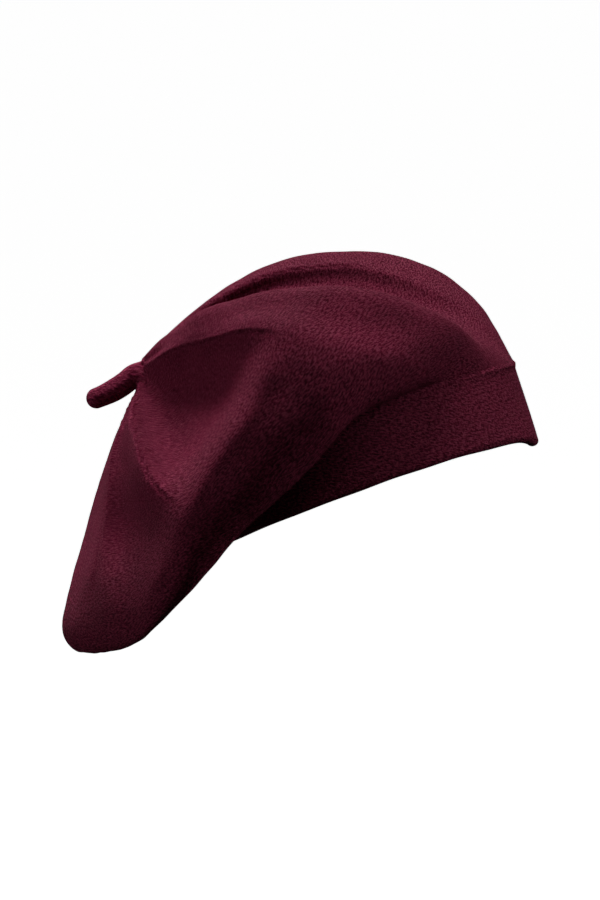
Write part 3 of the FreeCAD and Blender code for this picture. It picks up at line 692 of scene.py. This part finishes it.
# ---------------------------------------------------------------- yarn details
def tube(name, path, radius, sides=8, closed=False, caps=True):
    """Round yarn along a path (n,3) with a radius per point."""
    path = np.asarray(path, float)
    n = len(path)
    r = np.broadcast_to(np.asarray(radius, float), (n,))
    tan = np.gradient(path, axis=0) if not closed else np.roll(path, -1, 0) - np.roll(path, 1, 0)
    tan /= np.linalg.norm(tan, axis=1, keepdims=True)
    ref = np.array([0.0, 0.0, 1.0]) if abs(tan[0, 2]) < 0.9 else np.array([0.0, 1.0, 0.0])
    frames = []
    x = np.cross(tan[0], ref)
    x /= np.linalg.norm(x)
    for t in tan:
        x = x - t * np.dot(x, t)
        x /= np.linalg.norm(x)
        frames.append((x.copy(), np.cross(t, x)))
    a = np.linspace(0, 2 * np.pi, sides, endpoint=False)
    v = np.concatenate([p + rr * (np.cos(a)[:, None] * fx + np.sin(a)[:, None] * fy) for p, rr, (fx, fy) in zip(path, r, frames)])
    faces = []
    for i in range(n if closed else n - 1):
        i2 = (i + 1) % n
        for k in range(sides):
            k2 = (k + 1) % sides
            faces.append((i * sides + k, i * sides + k2, i2 * sides + k2, i2 * sides + k))
    if caps and not closed:
        faces.append(tuple(range(sides))[::-1])
        faces.append(tuple((n - 1) * sides + k for k in range(sides)))
    return v, faces


def join(parts):
    vs, fs, off = [], [], 0
    for v, f in parts:
        vs.append(v)
        fs += [tuple(i + off for i in q) for q in f]
        off += len(v)
    return np.concatenate(vs), fs


def chain(line, nrm, pitch, width, radius, lift):
    """Linking chain: overlapping teardrop loops of yarn along a line (n,3) on a surface with normals nrm."""
    d = np.r_[0, np.cumsum(np.linalg.norm(np.diff(line, axis=0), axis=1))]
    parts = []
    count = int(d[-1] / pitch)
    for i in range(count):
        c = (i + 0.5) * d[-1] / count
        at = lambda s: np.array([np.interp(s, d, line[:, k]) for k in range(3)])
        na = np.array([np.interp(c, d, nrm[:, k]) for k in range(3)])
        na /= np.linalg.norm(na)
        p0, p1 = at(c - 0.1), at(c + 0.1)
        t = (p1 - p0) / np.linalg.norm(p1 - p0)
        b = np.cross(na, t)
        pts = []
        for q in np.linspace(0, 2 * np.pi, 14, endpoint=False):
            along = math.cos(q) * pitch * 0.72
            across = math.sin(q) * width / 2 * (0.75 - 0.35 * math.cos(q))
            up = lift + 0.25 * radius * math.cos(q) + (0.3 * radius if i % 2 else 0)
            pts.append(at(np.clip(c + along, 0, d[-1])) + b * across + na * up)
        parts.append(tube("", pts, radius, 6, closed=True))
    return join(parts)


def piece(name, geo, mat, body, replaces=()):
    ob = new_mesh(name, geo[0], geo[1])
    ob.data.materials.append(mat)
    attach(ob, body)
    if replaces:
        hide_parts(*replaces)
    return ob


I_SEAM = 4 * PER
rows_c = np.arange(8, J_RIM + 1)
piece("closing_seam_crown_chain", chain(G1[I_SEAM, rows_c], NRM[I_SEAM, rows_c], 2.6, 1.9, 0.36, 0.12), MAT_YARN, "crown", ("closing_seam_crown",))


def seam_ring(name, j0, j1, a, b, rep=None):
    rr = np.arange(j0, j1 + 1)
    geo = chain(G1[I_SEAM, rr], NRM[I_SEAM, rr], 2.6, 1.9, 0.36, 0.12)
    ob = new_mesh(name, geo[0], geo[1])
    ob.data.materials.append(MAT_YARN)
    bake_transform(ob, a, b, start=(0, 0, 0), end=(0, 0, 0.05))
    line = G1[I_SEAM, rr]
    arc = np.r_[0, np.cumsum(np.linalg.norm(np.diff(line, axis=0), axis=1))]
    co = geo[0]
    near = np.argmin(((co[:, None, :] - line[None]) ** 2).sum(-1), axis=1)
    if j0 == J_RIM:
        row_w = 1 - smooth((ARC.mean(0)[rr] - ARC.mean(0)[J_RIM]) / (ARC.mean(0)[J_MID] - ARC.mean(0)[J_RIM]), 0, 1)
    else:
        row_w = 1 - smooth((ARC.mean(0)[rr] - ARC.mean(0)[J_MID]) / (ARC.mean(0)[-1] - ARC.mean(0)[J_MID]), 0, 1)
    ob.data.attributes["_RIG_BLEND"].data.foreach_set("value", row_w[near].astype(np.float32))
    if rep:
        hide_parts(rep)
    return ob


seam_ring("closing_seam_underside_chain_outer", J_RIM, J_MID, "underside", "crown", "closing_seam_underside")
seam_ring("closing_seam_underside_chain_inner", J_MID, NS - 2, "headband", "underside")
nb_out = 33
piece("closing_seam_headband_chain", chain(band_o[I_SEAM, 1:nb_out], band_n[I_SEAM, 1:nb_out], 2.6, 1.7, 0.34, 0.1), MAT_YARN, "headband", ("closing_seam_headband",))

# chain that links the facing's top edge inside the hem
top_in = band_o[:, -1] + (BT - BE) / np.linalg.norm(BT - BE, axis=1, keepdims=True) * 1.0
loop = np.concatenate([top_in, top_in[:1]])
nin = np.concatenate([-bn, -bn[:1]])
piece("hem_linking_chain_loops", chain(loop, nin, 3.0, 2.2, 0.42, -0.3), MAT_YARN, "headband", ("hem_linking_chain",))

# ---------------------------------------------------------------- stem
UP0 = np.array([-DISC_N[2], 0.0, DISC_N[0]])
UP0 = UP0 if UP0[2] > 0 else -UP0
SIDE0 = np.array([0.0, -1.0, 0.0])
near_root = ARC < 32.0
_rel = G1[near_root] - ROOT
ROOT_XY = np.stack([_rel @ SIDE0, _rel @ UP0], -1)
ROOT_H = _rel @ DISC_N


def crown_height(flat):
    """Height of the crown over the root's plane at in-plane offsets (n,3)."""
    q = np.stack([flat @ SIDE0, flat @ UP0], -1)
    d = np.linalg.norm(q[:, None] - ROOT_XY[None], axis=2)
    k = np.argpartition(d, 8, axis=1)[:, :8]
    w = 1.0 / (np.take_along_axis(d, k, 1) + 0.05) ** 2
    return (w * ROOT_H[k]).sum(1) / w.sum(1)


def root_ring(ang, r=6.0, sink=0.3):
    """Ring where the cord leaves the drawn-up cloth, set a little low because the cord droops."""
    flat = -2.3 * UP0 + r * (np.cos(ang)[:, None] * UP0 + np.sin(ang)[:, None] * SIDE0)
    return ROOT + flat + DISC_N * (crown_height(flat) - sink)[:, None]


def stem_geometry():
    """Knitted cord: cloth of the crown swept up into a cord that droops to a rounded tip."""
    n_ang, n_root, n_len, n_cap = 72, 26, 60, 12
    ang = np.radians(np.linspace(0, 360, n_ang + 1))
    s0 = root_ring(ang, 6.9, 0.6)
    a, b_ = np.array([-80.3, 0.0, 61.3]), np.array([-82.8, 0.0, 59.4])
    c_, d_ = np.array([-87.0, 0.0, 54.2]), np.array([-98.5, 0.0, 49.9])
    t = np.linspace(0, 1, 400)[:, None]
    full = (1 - t) ** 3 * a + 3 * (1 - t) ** 2 * t * b_ + 3 * (1 - t) * t * t * c_ + t ** 3 * d_
    arc = np.r_[0, np.cumsum(np.linalg.norm(np.diff(full, axis=0), axis=1))]
    L = arc[-1]
    s_at = np.r_[np.linspace(0, 6.0, n_root, endpoint=False), np.linspace(6.0, L, n_len)]
    c = np.stack([np.interp(s_at, arc, full[:, k]) for k in range(3)], -1)
    tan = np.gradient(c, s_at, axis=0)
    tan /= np.linalg.norm(tan, axis=1, keepdims=True)
    side_ = np.array([0.0, -1.0, 0.0])
    first_n = np.array([-0.94, 0.0, 0.35])

    def circle(p, t, r):
        up = np.cross(side_, t)
        up /= np.linalg.norm(up)
        if up[2] < 0:
            up = -up
        rib = 0.08 * np.cos(9 * ang)
        return p + (r + rib)[:, None] * (np.cos(ang)[:, None] * up + np.sin(ang)[:, None] * side_)

    def radius(q):
        return 4.95 + 1.05 * np.exp(-q / 2.2) * np.ones(n_ang + 1) + 0.2 * math.exp(-((q - 10.0) / 6.0) ** 2) - 0.3 * float(smooth(np.array(q), L - 9, L))

    rings_, v_at = [], []
    base = None
    for p, t_, q in zip(c, tan, s_at):
        w = float(smooth(np.array(q), 0.0, 4.5))
        nn = (1 - w) * first_n + w * t_
        nn /= np.linalg.norm(nn)
        ringp = circle(p, nn, radius(q))
        if base is None:
            base = s0 - ringp
        ringp = ringp + base * (max(0.0, 1 - q / 4.0) ** 2)
        h = (ringp - ROOT) @ DISC_N
        flat = ringp - ROOT - h[:, None] * DISC_N
        floor_h = crown_height(flat) - 0.35
        k_ = 0.35
        lifted = floor_h + k_ * np.logaddexp(0, (h - floor_h) / k_)
        keep = min(1.0, q / 1.5)
        ringp = ringp + DISC_N * ((lifted - h) * keep)[:, None]
        rings_.append(ringp)
        v_at.append(q + 2.0)
    r_end = float(radius(L)[0])
    for k in range(1, n_cap + 1):
        q = (math.pi / 2) * k / n_cap
        rings_.append(circle(c[-1] + tan[-1] * r_end * math.sin(q), tan[-1], max(0.03, r_end * math.cos(q)) * np.ones(n_ang + 1)))
        v_at.append(L + 2.0 + r_end * q)
    rings_ = np.array(rings_)
    nr, w = len(rings_), n_ang + 1
    faces = []
    for i in range(nr - 1):
        for k in range(n_ang):
            faces.append((i * w + k, (i + 1) * w + k, (i + 1) * w + k + 1, i * w + k + 1))
    faces.append(tuple(range(n_ang)))
    faces.append(tuple((nr - 1) * w + k for k in range(n_ang))[::-1])
    v = rings_.reshape(-1, 3)
    tri = np.array([f[:3] for f in faces[:-2]])
    if np.einsum("ij,ij->i", v[tri[:, 0]], np.cross(v[tri[:, 1]], v[tri[:, 2]])).sum() < 0:
        faces = [f[::-1] for f in faces]
    v_at = np.repeat(np.array(v_at), w)
    uvs = np.stack([v_at / 1.5, np.tile(np.linspace(0, 9, w), nr)], -1)
    return v, faces, uvs, v_at


sv, sf, suv, sarc = stem_geometry()
bump_wobble = noise_field(sv, 21, 7.0) * 0.12
stem = new_mesh("stem_knit", sv, sf, None, suv, {"side": np.zeros(len(sv))})
MAT_STEM = knit_material("stem_cord_knit", BASE, FURROW_SHADE, TIP_HIGHLIGHT, 0.5, felt=0.95)
stem.data.materials.append(MAT_STEM)
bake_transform(stem, "stem_root", "stem", start=(0, 0, 0), end=(0, 0, 0.05))
stem.data.attributes["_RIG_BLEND"].data.foreach_set("value", smooth(sarc, 1.0, 16.0).astype(np.float32))
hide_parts("stem")

# ---------------------------------------------------------------- collar of picked-up stitches at the root
def collar_geometry():
    """Low ring of picked-up stitches, lying on the crown where the cord begins."""
    n_ang, n_sec = 120, 16
    th = np.linspace(0, 360, n_ang, endpoint=False)
    p = root_ring(np.radians(th), 6.85, 0.15)
    out = root_ring(np.radians(th), 7.35, 0.15) - root_ring(np.radians(th), 6.35, 0.15)
    out /= np.linalg.norm(out, axis=1, keepdims=True)
    n = DISC_N - out * (out @ DISC_N)[:, None]
    n /= np.linalg.norm(n, axis=1, keepdims=True)
    v, uvs = [], []
    for i in range(n_ang):
        h = 0.34 + 0.14 * abs(math.sin(math.radians(th[i]) * 9))
        for k in range(n_sec):
            q = 2 * math.pi * k / n_sec
            v.append(p[i] + out[i] * 1.2 * math.cos(q) + n[i] * (h * math.sin(q) - 0.1))
            uvs.append((18 * i / n_ang, 2 * k / n_sec))
    faces = []
    for i in range(n_ang):
        i2 = (i + 1) % n_ang
        for k in range(n_sec):
            k2 = (k + 1) % n_sec
            faces.append((i * n_sec + k, i2 * n_sec + k, i2 * n_sec + k2, i * n_sec + k2))
    return np.array(v), faces, np.array(uvs)


cv, cf, cuv = collar_geometry()
collar = new_mesh("stem_collar_gathers", cv, cf, None, cuv, {"side": np.zeros(len(cv))})
collar.data.materials.append(MAT_STEM)
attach(collar, "stem_root")
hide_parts("stem_collar")

# ---------------------------------------------------------------- gather thread and tail knot, inside
e1 = np.array([0.0, 1.0, 0.0])
e2 = np.cross(DISC_N, e1)
a = np.linspace(0, 2 * np.pi, 72, endpoint=False)
gp = [ROOT + DISC_N * (-3.5 + 0.35 * math.sin(9 * q)) + 5.6 * (math.cos(q) * e1 + math.sin(q) * e2) for q in a]
piece("centre_gather_thread_yarn", tube("", gp, 0.5, 8, closed=True), MAT_YARN, "crown", ("centre_gather_thread",))
kp = []
for q in np.linspace(0, 2 * np.pi, 60, endpoint=False):          # overhand knot of the stem's tail
    x = (1.25 + 0.65 * math.cos(3 * q)) * math.cos(2 * q)
    y = (1.25 + 0.65 * math.cos(3 * q)) * math.sin(2 * q)
    z = 0.75 * math.sin(3 * q)
    kp.append(ROOT + DISC_N * (-5.0 + z) + x * e1 + y * e2)
tail = [ROOT + DISC_N * h + (0.3 * math.sin(h)) * e1 for h in np.linspace(0.0, -4.6, 14)]
piece("stem_tail_knot_yarn", join([tube("", kp, 0.52, 8, closed=True), tube("", tail, 0.5, 8)]), MAT_YARN, "stem_root", ("stem_tail_knot",))

# ---------------------------------------------------------------- care label and its stitches
def cad_box(node):
    lo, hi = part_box(node)
    return np.array(lo) * 1000, np.array(hi) * 1000


lo, hi = cad_box("care_label")
hinge = np.array([-80.055, 0.0, -8.818])
down = np.array([-0.0843, 0.0, -0.9964])
into = np.array([0.9964, 0.0, -0.0843])


def label_geometry():
    nu, nv, th = 40, 28, 0.45
    W_, H_ = 30.0, 20.0
    front, back = [], []
    for i in range(nu + 1):
        for j in range(nv + 1):
            y = (i / nu - 0.5) * W_
            z = 0.8 + H_ * j / nv
            curl = 0.5 * (j / nv) ** 2 + 0.25 * math.sin(3.2 * y / W_ + 0.6) * (j / nv) - 0.35 * (2 * y / W_) ** 2 * (1 - j / nv)
            hem = 0.12 if (z - 0.8) < 1.8 or abs(y) > W_ / 2 - 1.0 else 0.0
            p = hinge + down * z + np.array([0, y, 0]) + into * (curl * 0.5)
            front.append(p + into * (th / 2 + hem))
            back.append(p - into * (th / 2 + hem))
    v = np.array(front + back)
    w = nv + 1
    off = len(front)
    faces = []
    for i in range(nu):
        for j in range(nv):
            q = (i * w + j, (i + 1) * w + j, (i + 1) * w + j + 1, i * w + j + 1)
            faces.append(q)
            faces.append(tuple(x + off for x in q[::-1]))
    for i in range(nu):
        faces.append((i * w, i * w + off, (i + 1) * w + off, (i + 1) * w))
        faces.append((i * w + nv, (i + 1) * w + nv, (i + 1) * w + nv + off, i * w + nv + off))
    for j in range(nv):
        faces.append((j, j + 1, j + 1 + off, j + off))
        faces.append((nu * w + j, nu * w + j + off, nu * w + j + 1 + off, nu * w + j + 1))
    return v, faces


lv, lf = label_geometry()
label = new_mesh("care_label_tape", lv, lf)
label.data.materials.append(MAT_LABEL)
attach(label, "care_label")
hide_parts("care_label")

parts = []
for k in range(9):
    y = -12 + 3.0 * k
    q = [hinge + np.array([0, y - 0.9, 0]) + down * -0.5 + into * -1.4,
         hinge + np.array([0, y - 0.6, 0]) + down * 0.1 + into * 0.15,
         hinge + np.array([0, y + 0.6, 0]) + down * 0.1 + into * 0.25,
         hinge + np.array([0, y + 0.9, 0]) + down * -0.5 + into * -1.4]
    parts.append(tube("", q, 0.22, 6))
piece("label_stitches_thread", join(parts), plain_material("label_thread", (0.2, 0.05, 0.07), 2500, 0.55), "headband", ("label_stitches",))

# the elastic lies hidden in the hem; its CAD solid keeps its place
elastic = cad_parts["headband_elastic"]
for i in range(len(elastic.material_slots)):
    elastic.material_slots[i].link = "OBJECT"
    elastic.material_slots[i].material = MAT_ELASTIC

# ---------------------------------------------------------------- studio
def floor():
    s = 60.0
    z = CAD_BOX[0][2] - 0.25
    me = bpy.data.meshes.new("floor")
    me.from_pydata([(-s, -s, z), (s, -s, z), (s, s, z), (-s, s, z)], [], [(0, 1, 2, 3)])
    ob = bpy.data.objects.new("floor", me)
    bpy.context.scene.collection.objects.link(ob)
    m, nt, bsdf = node_tree("floor_pale")
    g = Graph(nt)
    tex = g.n("ShaderNodeTexCoord")
    f = g.noise(tex.outputs["Object"], 3.0, 2)
    g.link(g.ramp(f, [(0.3, (0.93, 0.93, 0.93)), (0.7, (0.96, 0.96, 0.96))]), bsdf.inputs["Base Color"])
    bsdf.inputs["Roughness"].default_value = 0.9
    bsdf.inputs["Specular IOR Level"].default_value = 0.1
    bsdf.inputs["Emission Color"].default_value = (1, 1, 1, 1)
    bsdf.inputs["Emission Strength"].default_value = 0.97
    me.materials.append(m)
    ob.visible_diffuse = False
    ob.visible_glossy = False
    return ob


def backdrop():
    """Pale dome far behind everything, so that no view has a dark horizon."""
    r, n, m_ = 58.0, 48, 14
    v = [(0.0, 0.0, r)]
    for i in range(1, m_ + 1):
        e = math.radians(90 - 96 * i / m_)
        v += [(r * math.cos(e) * math.cos(2 * math.pi * k / n), r * math.cos(e) * math.sin(2 * math.pi * k / n), r * math.sin(e)) for k in range(n)]
    f = [(0, 1 + (k + 1) % n, 1 + k) for k in range(n)]
    for i in range(m_ - 1):
        a0, a1 = 1 + i * n, 1 + (i + 1) * n
        f += [(a0 + k, a0 + (k + 1) % n, a1 + (k + 1) % n, a1 + k) for k in range(n)]
    me = bpy.data.meshes.new("backdrop")
    me.from_pydata(v, [], f)
    me.shade_smooth()
    ob = bpy.data.objects.new("backdrop", me)
    bpy.context.scene.collection.objects.link(ob)
    m, nt, bsdf = node_tree("backdrop_pale")
    g = Graph(nt)
    tex = g.n("ShaderNodeTexCoord")
    f_ = g.noise(tex.outputs["Object"], 0.05, 2)
    g.link(g.ramp(f_, [(0.3, (0.90, 0.90, 0.90)), (0.7, (0.93, 0.93, 0.93))]), bsdf.inputs["Base Color"])
    bsdf.inputs["Roughness"].default_value = 0.9
    bsdf.inputs["Emission Color"].default_value = (1, 1, 1, 1)
    bsdf.inputs["Emission Strength"].default_value = 0.97
    me.materials.append(m)
    ob.visible_diffuse = False
    ob.visible_glossy = False
    ob.visible_shadow = False
    return ob


floor()
backdrop()


def area(name, loc, target, size, power, size_y=None):
    d = bpy.data.lights.new(name, "AREA")
    d.energy = power
    d.size = size
    if size_y:
        d.shape = "RECTANGLE"
        d.size_y = size_y
    ob = bpy.data.objects.new(name, d)
    bpy.context.scene.collection.objects.link(ob)
    ob.location = loc
    ob.rotation_euler = (Vector(target) - Vector(loc)).to_track_quat("-Z", "Y").to_euler()
    return ob


scn = bpy.context.scene
scn.view_settings.view_transform = "Standard"
scn.view_settings.look = "None"
world = bpy.data.worlds.new("studio")
world.use_nodes = True
scn.world = world
bg = world.node_tree.nodes["Background"]
bg.inputs[0].default_value = (1.0, 1.0, 1.0, 1)
bg.inputs[1].default_value = 0.022
area("key_top", (-0.1, 0.12, 1.9), (0, 0, 0.03), 0.85, 35)
area("side_left", (-1.9, -0.3, 1.0), (0, 0, 0.03), 0.8, 3.3)
area("side_right", (1.9, -0.12, 0.95), (0, 0, 0.03), 0.8, 17.5)
area("fill_front", (-0.3, -2.2, 1.6), (0, 0, 0.03), 1.0, 4.2)
area("bounce_left", (-1.8, 0.2, -0.18), (0, 0, 0.0), 0.7, 10.0)
area("back_top", (-0.6, 1.6, 1.5), (0, 0, 0.03), 1.0, 29)


# ---------------------------------------------------------------- camera
SCALE = 0.00045                      # metres per picture unit at the hat
DIST = 8.0
EL = math.radians(3.0)
aim = Vector(((300 - 315.5) * SCALE, 0.0, (509 - 450) * SCALE / math.cos(EL)))
cam_d = bpy.data.cameras.new("camera")
cam_d.sensor_fit = "VERTICAL"
cam_d.sensor_height = 36.0
cam_d.lens = 36.0 * DIST / (900 * SCALE)
cam_d.clip_end = 200
cam = bpy.data.objects.new("camera", cam_d)
bpy.context.scene.collection.objects.link(cam)
cam.location = aim + Vector((0, -math.cos(EL), math.sin(EL))) * DIST
cam.rotation_euler = (aim - cam.location).to_track_quat("-Z", "Y").to_euler()
bpy.context.scene.camera = cam

bpy.context.view_layer.update()
